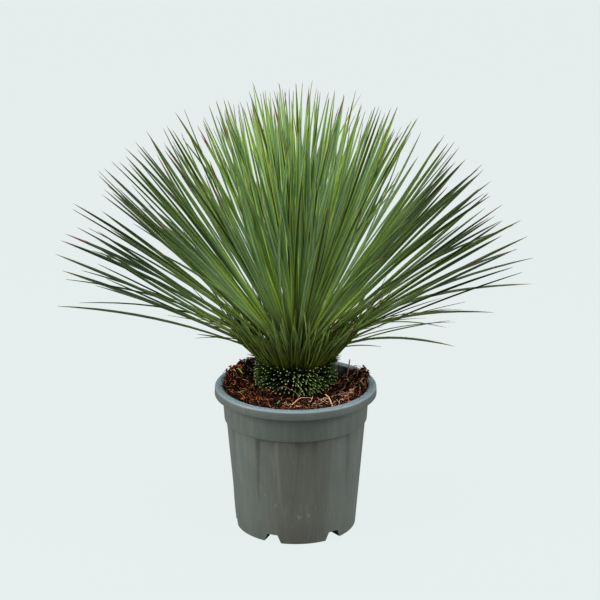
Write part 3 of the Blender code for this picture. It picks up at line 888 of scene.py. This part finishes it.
def stub_finish():
    finish = Finish("stub_green", 0.6, 0.12)
    draws = finish.attribute("draws", "Color")
    tone, paleness, light = (finish.part(draws, name) for name in ("Red", "Green", "Blue"))
    to_cut = finish.attribute("length")
    finish.body = finish.mix(tone, linear(20, 36, 8), linear(58, 84, 22))
    finish.over(light, (112, 142, 54))
    # Each stub darkens to near black towards the stem, and so does the stem: painted shade deep
    # between the stubs
    finish.tint(to_cut, 0.002, 0.016, 1, (4, 7, 2))
    cut = finish.mix(paleness, linear(70, 82, 40), linear(190, 196, 142))
    finish.body = finish.mix(finish.span(to_cut, 0.0008, 0.0003), finish.body, cut)
    return finish.done()


stem_profile = [
    (0, STEM_TOP),
    (STEM_RADIUS - 0.001, STEM_TOP),
    (STEM_RADIUS, STUB_LOW),
    (STEM_RADIUS, STEM_FOOT + STEM_FOOT_RISE),
    (STEM_FOOT_RADIUS, STEM_FOOT),
    (0, STEM_FOOT),
]
stem = turned(stem_profile, 48)
stem.loops.layers.uv.new("UVMap")
stem.verts.layers.float_color.new("draws")
metres = stem.verts.layers.float.new("length")
for vertex in stem.verts:
    vertex[metres] = 1
draw = Draw(STUB_SEED)
look = Draw(STUB_LOOK_SEED)
whole_stub = bar(7, (0.5, STUB_EDGE))
for k in range(STUB_TURNS * STUB_FILL):
    # A stub between two of the source's stands half a turn round, which fills their lattice
    turn = k / STUB_FILL
    share = (turn + 0.5) / STUB_COUNT
    azimuth = turn * GOLDEN_ANGLE + (k % STUB_FILL) * pi + look.lean(1.6)
    angle = between(STUB_ANGLE_LOW, STUB_ANGLE_HIGH, share**1.2) + look.lean(1.6)
    height = min(between(STUB_LOW, STUB_HIGH, share), STUB_ROOT_TOP)
    length = STUB_LENGTH * draw.uniform(0.95, 1.03)
    place = stub_place(azimuth, angle, height, length, draw.lean(7))
    add_bar(stem, whole_stub, place, (draw.random(), draw.random(), 0), length)
draw = Draw(STUMP_SEED)
pattern = bar(4, (STUMP_TAPER,))
for share, azimuth in draw.golden(STUMP_COUNT, 4, 0.5):
    angle = between(STUMP_ANGLE_LOW, STUMP_ANGLE_HIGH, share) + draw.lean(3)
    sideways = max(bump(azimuth, 0, 40), bump(azimuth, 180, 40))
    length = STUB_LENGTH * (draw.uniform(0.85, 1.30) + STUMP_LONGER_AT_SIDES * sideways)
    place = stub_place(azimuth, angle, STUB_ROOT_TOP, length, draw.lean(12))
    # Its distance to a cut is never short, so that it has no pale end
    point = place(STUMP_POINT, 0, 0)
    add_bar(stem, pattern, place, (draw.random() * 0.8, 0, 0), 0, point)
draw = Draw(DROOPING_SEED)
for k in range(DROOPING_ROWS * DROOPING_COLUMNS):
    row, column = divmod(k, DROOPING_COLUMNS)
    azimuth, angle = DROOPING_FIRST
    azimuth += DROOPING_COLUMN_TURN * column + DROOPING_ROW_TURN * row
    azimuth = radians(azimuth + draw.gauss(0, 1.2))
    angle = radians(angle - DROOPING_ROW_TILT * row + draw.gauss(0, 2))
    height = STUB_ROOT_TOP - DROOPING_ROW_DROP * row
    length = STUB_LENGTH * draw.uniform(0.98, 1.06)
    roll = draw.lean(10)
    turn = draw.angle(14, 34)
    place = stub_place(azimuth, angle, height, length, roll, turn)
    add_bar(stem, whole_stub, place, (1, draw.uniform(0.6, 1), draw.uniform(0.1, 0.8)), length)
trimmed = piece_from(stem, "stem_with_stubs", stub_finish(), sharp=40)
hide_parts("trimmed_stem")

# Leaf head
# A round burst of long stiff leaves that grow from the stem's top, oldest and lowest first.
# Each is flat above and keeled below, with thin yellow margins and a brown sharp tip.

LEAF_COUNT = 288
LEAF_REACH = 0.469
LEAF_SHORTER_LOW = 0.10
LEAF_SHORTER_BEHIND = 0.06
LEAF_SHORTER_DRAW = 0.08
# Leaves near this angle, in degrees, are the longest, most of all at the sides
LEAF_LONGER = 0.08
LEAF_LONGER_AT = 44
LEAF_LONGER_SPREAD = 32
LEAF_LONGER_IN_FRONT = 0.4
LEAF_HALF_WIDTH = 0.0036
LEAF_THICK = 0.0015
LEAF_LOWEST = radians(28)
LEAF_LOWEST_IN_FRONT = radians(54)
LEAF_LOWEST_BEHIND = radians(46)
LEAF_HIGHER_AT_RIGHT = radians(6)
LEAF_STEEPEST = radians(89)
# In degrees: every leaf's droop, how much more a low one has, and the spread of its draw
LEAF_DROOP = (2, 12, 5)
LEAF_CROWDING = 0.88
AXIS_LOW = 0.2835
AXIS_HIGH = 0.3100
ROOT_OUT = 0.0420
LEAF_SEED = 11
LEAF_LOOK_SEED = 21
# Neighbouring leaves lean together in loose tufts
TUFT_COUNT = 50
TUFT_PULL = 0.3
TUFT_SEED = 367
# Leaves that the source leaves out, which stand between its own
LEAF_FILL = 115
LEAF_FILL_SEED = 385
# Thin leaves that hang and curl at both sides
WISP_COUNT = 27
WISP_REACH = (0.15, 0.31)
WISP_SEED = 23
# Short leaves on a ring round the stem's top, some of them dead at the tip
SHORT_COUNT = 320
SHORT_SEED = 19
SHORT_DEAD = 0.06
SHORT_LOWEST = radians(46)
SHORT_REACH = (0.27, 0.12)
SHORT_RING = (0.046, 0.063)
RING_HEIGHT = 0.3010
# How far inside its ring a short leaf's base starts
RING_INSET = 0.018
# Under its root in the source a leaf goes on down to the stem, as a share of its bar
LEAF_BASE = 0.10
BASE_OUT = 0.038
BASE_SINK = 0.006
BASE_PULL = 0.020
LEAF_FOLD = 0.60
LEAF_EDGE = 0.00022
HEART_RADIUS = 0.020
# How young the leaves count that aren't on the golden angle or are short
STRAY_YOUTH = 0.1
WISP_YOUTH = 0.3
SHORT_YOUTH = 0.5
STRAY_TWIST = 0.5
# Single leaves that leave the round: azimuth, angle, reach, droop and side bend
STRAY_LEAVES = (
    (180, 38, 0.362, 50, 0),
    (184, 38, 0.408, 34, 3),
    (176, 29, 0.370, 16, -2),
    (187, 36, 0.400, 20, 0),
    (181, 29, 0.360, 5, 0),
    (173, 30, 0.385, 7, 0),
    (-3, 38, 0.437, 27, 3),
    (0, 40, 0.402, 47, 0),
    (4, 40, 0.380, 47, -3),
    (-6, 38, 0.330, 50, 3),
    (-9, 33, 0.258, 55, -4),
)


def leaf_width(share):
    """Half the leaf's width along its length, as a share of its widest."""
    swell = 0.32 + 0.68 * smooth((share + 0.05) / 0.7)
    return swell * (1 - share**9)


def steepness(angle):
    """A leaf's angle as a share, 0 for the lowest and 1 for the steepest."""
    return (angle - LEAF_LOWEST) / (LEAF_STEEPEST - LEAF_LOWEST)


def axis_height(angle):
    """Where on the stem's axis the line of a leaf at this angle starts."""
    return between(AXIS_LOW, AXIS_HIGH, steepness(angle))


class Leaf:
    """The line, width and roll of one leaf, from its root to its tip."""

    def __init__(self, azimuth, angle, reach, droop, bend, roll, twist, width, ring=0.0):
        self.ahead = polar(azimuth, cos(angle), sin(angle))
        self.root = Vector((0, 0, axis_height(angle))) + self.ahead * ROOT_OUT
        self.length = reach - ROOT_OUT
        self.low = polar(azimuth, BASE_OUT * (1 - 0.4 * steepness(angle)), STEM_TOP - BASE_SINK)
        if ring:
            self.root = polar(azimuth, ring, RING_HEIGHT)
            self.low = polar(azimuth, ring - RING_INSET, STEM_TOP - 2 * BASE_SINK)
            self.length = reach - ring
        self.side = polar(azimuth + pi / 2, 1)
        self.up = self.ahead.cross(self.side)
        self.droop, self.bend, self.roll, self.twist, self.width = droop, bend, roll, twist, width

    def point(self, share):
        curve = 0.5 * self.length * share * share
        line = self.root + self.ahead * (self.length * share)
        return line - self.up * (curve * self.droop) + self.side * (curve * self.bend)

    def base(self, share):
        """Where the leaf's base runs, from the stem's top at 0 to the root at 1, and its heading."""
        low = self.low
        bend = self.root - self.ahead * BASE_PULL
        spot = low * (1 - share) ** 2 + bend * (2 * share * (1 - share)) + self.root * share**2
        return spot, ((bend - low) * (1 - share) + (self.root - bend) * share).normalized()

    def place(self, bar_share, x, y):
        """A point of a round bar, brought to the blade: channelled above, keeled below."""
        share = max((bar_share - LEAF_BASE) / (1 - LEAF_BASE), 0)
        turn = self.roll + self.twist * share
        out = self.side * cos(turn) + self.up * sin(turn)
        if bar_share < LEAF_BASE:
            spot, ahead = self.base(bar_share / LEAF_BASE)
            face = ahead.cross(out).normalized()
        else:
            spot = self.point(share)
            face = self.up * cos(turn) - self.side * sin(turn)
        half = self.width * leaf_width(share)
        fold = LEAF_FOLD * half * (1 - abs(x))
        thick = LEAF_THICK * (1 - 0.6 * share**2)
        below = fold if y > 0.1 else LEAF_EDGE + fold + (thick - LEAF_EDGE) * (1 - abs(x))
        return spot + out * (x * half) - face * below


def leaf_angle(youth, azimuth):
    """A leaf's angle above the ground: upright if young, and low at the sides alone."""
    lowest = between(LEAF_LOWEST, LEAF_LOWEST_IN_FRONT, bump(azimuth, -90, 85))
    lowest += (LEAF_LOWEST_BEHIND - LEAF_LOWEST) * bump(azimuth, 90, 80)
    lowest += LEAF_HIGHER_AT_RIGHT * bump(azimuth, 0, 50)
    rise = youth**LEAF_CROWDING
    even = asin(between(sin(lowest), sin(LEAF_STEEPEST), rise))
    return 0.5 * (even + between(lowest, LEAF_STEEPEST, rise))


def leaf_reach(youth, azimuth, angle):
    """How far a leaf reaches from the stem's axis: the low ones less, those behind too."""
    reach = LEAF_REACH * (1 - LEAF_SHORTER_LOW * (1 - youth) ** 1.5)
    off = abs(degrees(angle) - LEAF_LONGER_AT)
    sideways = between(LEAF_LONGER_IN_FRONT, 1, cos(azimuth) ** 2)
    reach *= 1 + LEAF_LONGER * sideways * smooth(1 - off / LEAF_LONGER_SPREAD)
    return reach * (1 - LEAF_SHORTER_BEHIND * (1 - youth) * bump(azimuth, 90, 80))


def tuft_plan():
    """The direction of every tuft, spread over the head as the leaves are."""
    draw = Draw(TUFT_SEED)
    for youth, azimuth in draw.golden(TUFT_COUNT, 12):
        angle = leaf_angle(youth, azimuth) + draw.lean(4)
        yield polar(azimuth, cos(angle), sin(angle))


def in_tuft(azimuth, angle):
    """A leaf's azimuth and angle, drawn towards the tuft that is nearest to it."""
    ahead = polar(azimuth, cos(angle), sin(angle))
    nearest = max(tufts, key=ahead.dot)
    ahead = (ahead * (1 - TUFT_PULL) + nearest * TUFT_PULL).normalized()
    return atan2(ahead.y, ahead.x), asin(min(ahead.z, 1))


def leaf_plan():
    """Every leaf of the head with its youth, oldest and lowest first, on the golden angle."""
    draw = Draw(LEAF_SEED)
    for youth, azimuth in draw.golden(LEAF_COUNT, 6):
        angle = leaf_angle(youth, azimuth) + draw.lean(3.5)
        azimuth, angle = in_tuft(azimuth, max(angle, LEAF_LOWEST))
        reach = leaf_reach(youth, azimuth, angle)
        reach *= 1 - LEAF_SHORTER_DRAW * draw.random() ** 2
        droop, droop_low, spread = LEAF_DROOP
        droop = radians(droop + droop_low * (1 - youth) ** 2 + draw.gauss(0, spread))
        bend = draw.lean(7)
        roll = draw.lean(9)
        twist = radians(draw.choice((-1, 1)) * draw.uniform(15, 95))
        width = LEAF_HALF_WIDTH * draw.uniform(0.84, 1.08)
        yield youth, Leaf(azimuth, angle, reach, droop, bend, roll, twist, width)
    for azimuth, angle, reach, droop, bend in STRAY_LEAVES:
        azimuth, angle, droop, bend = map(radians, (azimuth, angle, droop, bend))
        leaf = Leaf(azimuth, angle, reach, droop, bend, 0, STRAY_TWIST, LEAF_HALF_WIDTH)
        yield STRAY_YOUTH, leaf


def fill_plan():
    """The leaves between those of the plan: a little shorter and narrower."""
    draw = Draw(LEAF_FILL_SEED)
    for youth, azimuth in draw.golden(LEAF_FILL, 8, 0.5):
        angle = leaf_angle(youth, azimuth) + draw.lean(3)
        azimuth, angle = in_tuft(azimuth, max(angle, LEAF_LOWEST + 0.03))
        reach = leaf_reach(youth, azimuth, angle) * draw.uniform(0.90, 1.0)
        droop = radians(3 + draw.gauss(0, 5))
        bend = draw.lean(13)
        twist = radians(draw.choice((-1, 1)) * draw.uniform(15, 110))
        width = LEAF_HALF_WIDTH * draw.uniform(0.60, 0.90)
        roll = draw.lean(12)
        yield youth, Leaf(azimuth, angle, reach, droop, bend, roll, twist, width)


def short_plan():
    """The short leaves at the foot of the head, which curve up, the longest of them first."""
    draw = Draw(SHORT_SEED)
    for share, azimuth in draw.golden(SHORT_COUNT, 8):
        angle = leaf_angle(draw.uniform(0, 0.25), azimuth) - draw.angle(0, 12)
        angle = max(angle, SHORT_LOWEST)
        reach = between(*SHORT_REACH, share**0.3) * draw.uniform(0.85, 1.15)
        droop = -draw.angle(0, 22)
        bend = draw.lean(8)
        twist = draw.lean(60)
        width = LEAF_HALF_WIDTH * draw.uniform(0.32, 0.52)
        ring = draw.uniform(*SHORT_RING)
        yield SHORT_YOUTH, Leaf(azimuth, angle, reach, droop, bend, 0, twist, width, ring)


def wisp_plan():
    """Thin old leaves at both sides that hang and curl."""
    draw = Draw(WISP_SEED)
    for k in range(WISP_COUNT):
        azimuth = pi * (k % 3 // 2) + draw.lean(14)
        angle = draw.angle(28, 44)
        reach = draw.uniform(*WISP_REACH)
        droop = draw.angle(10, 62)
        bend = draw.lean(24)
        width = LEAF_HALF_WIDTH * draw.uniform(0.20, 0.42)
        twist = draw.uniform(-2, 2)
        yield WISP_YOUTH, Leaf(azimuth, angle, reach, droop, bend, 0, twist, width)


def leaf_finish():
    finish = Finish("leaf_green", 0.42, 0.22)
    draws = finish.attribute("draws", "Color")
    tone, browning, youth = (finish.part(draws, name) for name in ("Red", "Green", "Blue"))
    shade = finish.attribute("draws", "Alpha")
    to_tip = finish.attribute("length")
    uv = finish.uv()
    side = finish.part(uv, "X")
    along = finish.part(uv, "Y")
    under = finish.maths("GREATER_THAN", side, 1)
    middle = finish.maths("ADD", under, 0.5)
    across = finish.maths("ABSOLUTE", finish.maths("SUBTRACT", side, middle))
    # The upper side is a clear green, the under side has a blue-grey bloom
    green = finish.span(tone, 0.2, 0.8)
    finish.body = finish.mix(green, linear(84, 126, 20), linear(140, 178, 60))
    finish.tint(youth, 0.25, 0.8, 0.45, (158, 194, 58))
    bloom = finish.mix(tone, linear(98, 148, 90), linear(146, 192, 140))
    finish.body = finish.mix(finish.times(under, 0.8), finish.body, bloom)
    patches = finish.noise(finish.uv((0.7, 2, 1)), 1, 2)
    finish.tint(patches, 0.45, 0.72, 0.55, (112, 160, 118))
    # The lower half is painted a lighter olive as painted light, and the base is painted dark as
    # painted shade
    finish.tint(along, 0.62, 0.25, 0.75, (206, 246, 90))
    finish.tint(along, 0.20, 0.04, 0.85, (88, 114, 14))
    # Some leaves are painted dark all over as painted shade, and some lighter and greyer as a painted
    # highlight
    finish.tint(shade, 0.40, 0.05, 0.92, (18, 38, 4))
    finish.tint(shade, 0.58, 0.72, 0.72, (128, 162, 132))
    # Pale veins run along it, with yellow margins, and dark lines along the grooves and the middle
    # that are painted shade
    veins = finish.noise(finish.uv((26, 3, 1)), 1, 3, 0.7)
    finish.tint(veins, 0.40, 0.75, 0.4, (146, 176, 100))
    groove_shade = finish.maths("ABSOLUTE", finish.maths("SUBTRACT", across, 0.28))
    finish.tint(groove_shade, 0.07, 0.02, 0.6, (16, 36, 4))
    finish.tint(across, 0.17, 0.08, 0.5, (34, 60, 12))
    finish.tint(across, 0.31, 0.38, 0.8, (176, 196, 84))
    # The leaves are painted darker at the foot of the head, and where they stand far out: painted
    # shade
    where = finish.place()
    far = finish.length(finish.scaled(where, (1, 0.5, 0)))
    finish.multiply(far, 0.05, 0.29, 0.93, (0.08, 0.10, 0.09))
    finish.multiply(finish.part(where, "Z"), 0.43, 0.31, 0.85, (0.30, 0.20, 0.05))
    # Long leaves fade to a dull brown before the tip, and some are withered further down
    dull = finish.span(to_tip, 0.045, 0.004)
    dull = finish.times(dull, finish.span(browning, 0, 0.01, 0, 0.6))
    finish.over(dull, (106, 92, 66))
    sear = finish.times(finish.maths("POWER", browning, 8), 0.05)
    sear = finish.maths("ADD", sear, finish.span(browning, 0, 0.01, 0.0003, 0.010))
    finish.tint(finish.maths("DIVIDE", to_tip, sear), 1.0, 0.5, 1, (98, 58, 50))
    finish.bump(veins, 0.0003)
    return finish.done()


tufts = list(tuft_plan())
look = Draw(LEAF_LOOK_SEED)
stations = [LEAF_BASE * k / 4 for k in range(1, 5)]
stations += [between(LEAF_BASE, 1, share) for share in (*even(12), 0.955, 0.985)]
pattern = bar(8, stations)
blades = bmesh.new()
for youth, leaf in (*leaf_plan(), *fill_plan(), *wisp_plan()):
    length = leaf.length / (1 - LEAF_BASE)
    draws = (look.random(), look.random(), youth, look.random())
    add_bar(blades, pattern, leaf.place, draws, length, leaf.point(1))
pattern = bar(8, stations[1::2])
for k, (youth, leaf) in enumerate(short_plan()):
    length = leaf.length / (1 - LEAF_BASE)
    browning = look.uniform(0.8, 0.97) if k < SHORT_COUNT * SHORT_DEAD else 0
    draws = (look.random(), browning, youth, 0.6 * look.random())
    add_bar(blades, pattern, leaf.place, draws, length, leaf.point(1))
crown = piece_from(blades, "leaf_blades", leaf_finish(), sharp=22)
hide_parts("leaf_crown")


# The dome at the heart of the head is painted near black: painted shade deep between the leaf bases
def heart_finish():
    finish = Finish("leaf_heart", 0.8, 0.1)
    grain = finish.noise(finish.place((1, 1, 0.3)), 240, 3)
    finish.body = finish.mix(grain, linear(8, 14, 3), linear(24, 36, 10))
    finish.bump(grain, 0.002)
    return finish.done()


heart_angles = [radians(a) for a in range(90, 29, -5)]
heart_dome = [
    (HEART_RADIUS * cos(a), axis_height(a) + HEART_RADIUS * sin(a)) for a in heart_angles
]
heart_foot = STEM_TOP + GAP
heart_profile = [
    (0, heart_dome[0][1]),
    *heart_dome[1:],
    (HEART_RADIUS, heart_foot),
    (0, heart_foot),
]
heart = turned(heart_profile, 48)
piece_from(heart, "leaf_heart", heart_finish())

# Studio
# A pale floor without an edge and an even pale surround. The light is soft: it comes from
# the sky and from three softboxes, one at each side and one above.

STUDIO_COLOUR = linear(229, 238, 237)
STUDIO_RADIUS = 24
FLOOR_DROP = 0.0005
FLOOR_GLOW = 0.985
# The sky's light: an axis, where along it the light starts and is full, and how strong it is
SKY = (
    ("Z", 0.15, 0.85, 0.60),
    ("Y", 0.35, 0.95, 0.16),
    ("X", 0.45, 0.95, 0.14),
    ("X", -0.45, -0.95, 0.19),
    ("Y", -0.35, -0.95, 0.46),
)
SKY_FILL = 0.10
SKY_COLOUR = (0.92, 0.98, 1.0, 1)
COOL = (0.95, 0.98, 1.0)
# The softboxes' name, place, width and height, power and colour, and the spot they aim at
SOFTBOXES = (
    ("softbox_left", (-2.1, -0.7, 1.3), (0.8, 1.6), 70, COOL),
    ("softbox_right", (2.1, -0.5, 1.3), (0.8, 1.6), 52, COOL),
    ("softbox_top", (0.1, -0.5, 2.8), (1.4, 1.4), 50, (1.0, 0.99, 0.96)),
)
LIGHT_AIM = Vector((0, 0, 0.3))
# The camera that was fitted to the photo: its place and its tilt below level in radians,
# and its focal length, which was measured in pixels of the photo
CAMERA_PLACE = (0.0075, -2.7473, 1.2527)
CAMERA_TILT = 0.2991
SENSOR_WIDTH = 36
PHOTO_WIDTH = 600
FOCAL_PIXELS = 1690.17


def pale_finish(name, shade, glow):
    """A pale studio surface that mostly glows, so that shadows on it stay faint."""
    finish = Finish(name, 1.0, 0)
    finish.give("Base Color", (shade, shade * 1.04, shade * 1.04, 1))
    finish.give("Emission Color", STUDIO_COLOUR)
    finish.give("Emission Strength", glow)
    return finish.made


def studio_piece(bm, name, finish):
    """A surface that the camera sees, and that neither lights the plant nor shades it."""
    made = object_from(bm, name)
    made.data.shade_smooth()
    made.data.materials.append(finish)
    made.visible_diffuse = made.visible_glossy = made.visible_shadow = False
    made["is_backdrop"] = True


ground = bmesh.new()
bmesh.ops.create_circle(ground, cap_ends=True, segments=64, radius=STUDIO_RADIUS)
bmesh.ops.translate(ground, verts=ground.verts, vec=(0, 0, -FLOOR_DROP))
studio_piece(ground, "floor", pale_finish("studio_floor", 0.010, FLOOR_GLOW))
dome = bmesh.new()
bmesh.ops.create_icosphere(dome, subdivisions=5, radius=STUDIO_RADIUS)
bmesh.ops.reverse_faces(dome, faces=dome.faces)
studio_piece(dome, "surround", pale_finish("studio_surround", 0, 1))

# The sky is strongest above, then in front, and weak at the sides and behind
world = bpy.data.worlds.new("studio")
world.use_nodes = True
sky = Nodes(world.node_tree)
where = sky.node("TexCoord", "Generated", {})
total = SKY_FILL
for axis, low, high, most in SKY:
    total = sky.maths("ADD", total, sky.span(sky.part(where, axis), low, high, 0, most))
surround = world.node_tree.nodes["Background"]
sky.put(surround.inputs["Color"], SKY_COLOUR)
sky.put(surround.inputs["Strength"], total)
bpy.context.scene.world = world

for name, place, size, power, colour in SOFTBOXES:
    lamp = bpy.data.lights.new(name, "AREA")
    lamp.shape = "RECTANGLE"
    lamp.size, lamp.size_y = size
    lamp.energy = power
    lamp.color = colour
    softbox = linked(name, lamp)
    softbox.location = place
    softbox.rotation_euler = (LIGHT_AIM - Vector(place)).to_track_quat("-Z", "Y").to_euler()

camera_data = bpy.data.cameras.new("camera")
camera_data.sensor_width = SENSOR_WIDTH
camera_data.lens = SENSOR_WIDTH * FOCAL_PIXELS / PHOTO_WIDTH
camera = linked("camera", camera_data)
camera.location = CAMERA_PLACE
camera.rotation_euler = (radians(90) - CAMERA_TILT, 0, 0)
bpy.context.scene.camera = camera
bpy.context.scene.view_settings.view_transform = "Standard"

bpy.context.view_layer.update()
boxes = {"cad": cad_box, "visual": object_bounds()}
{name: [list(corner) for corner in box] for name, box in boxes.items()}
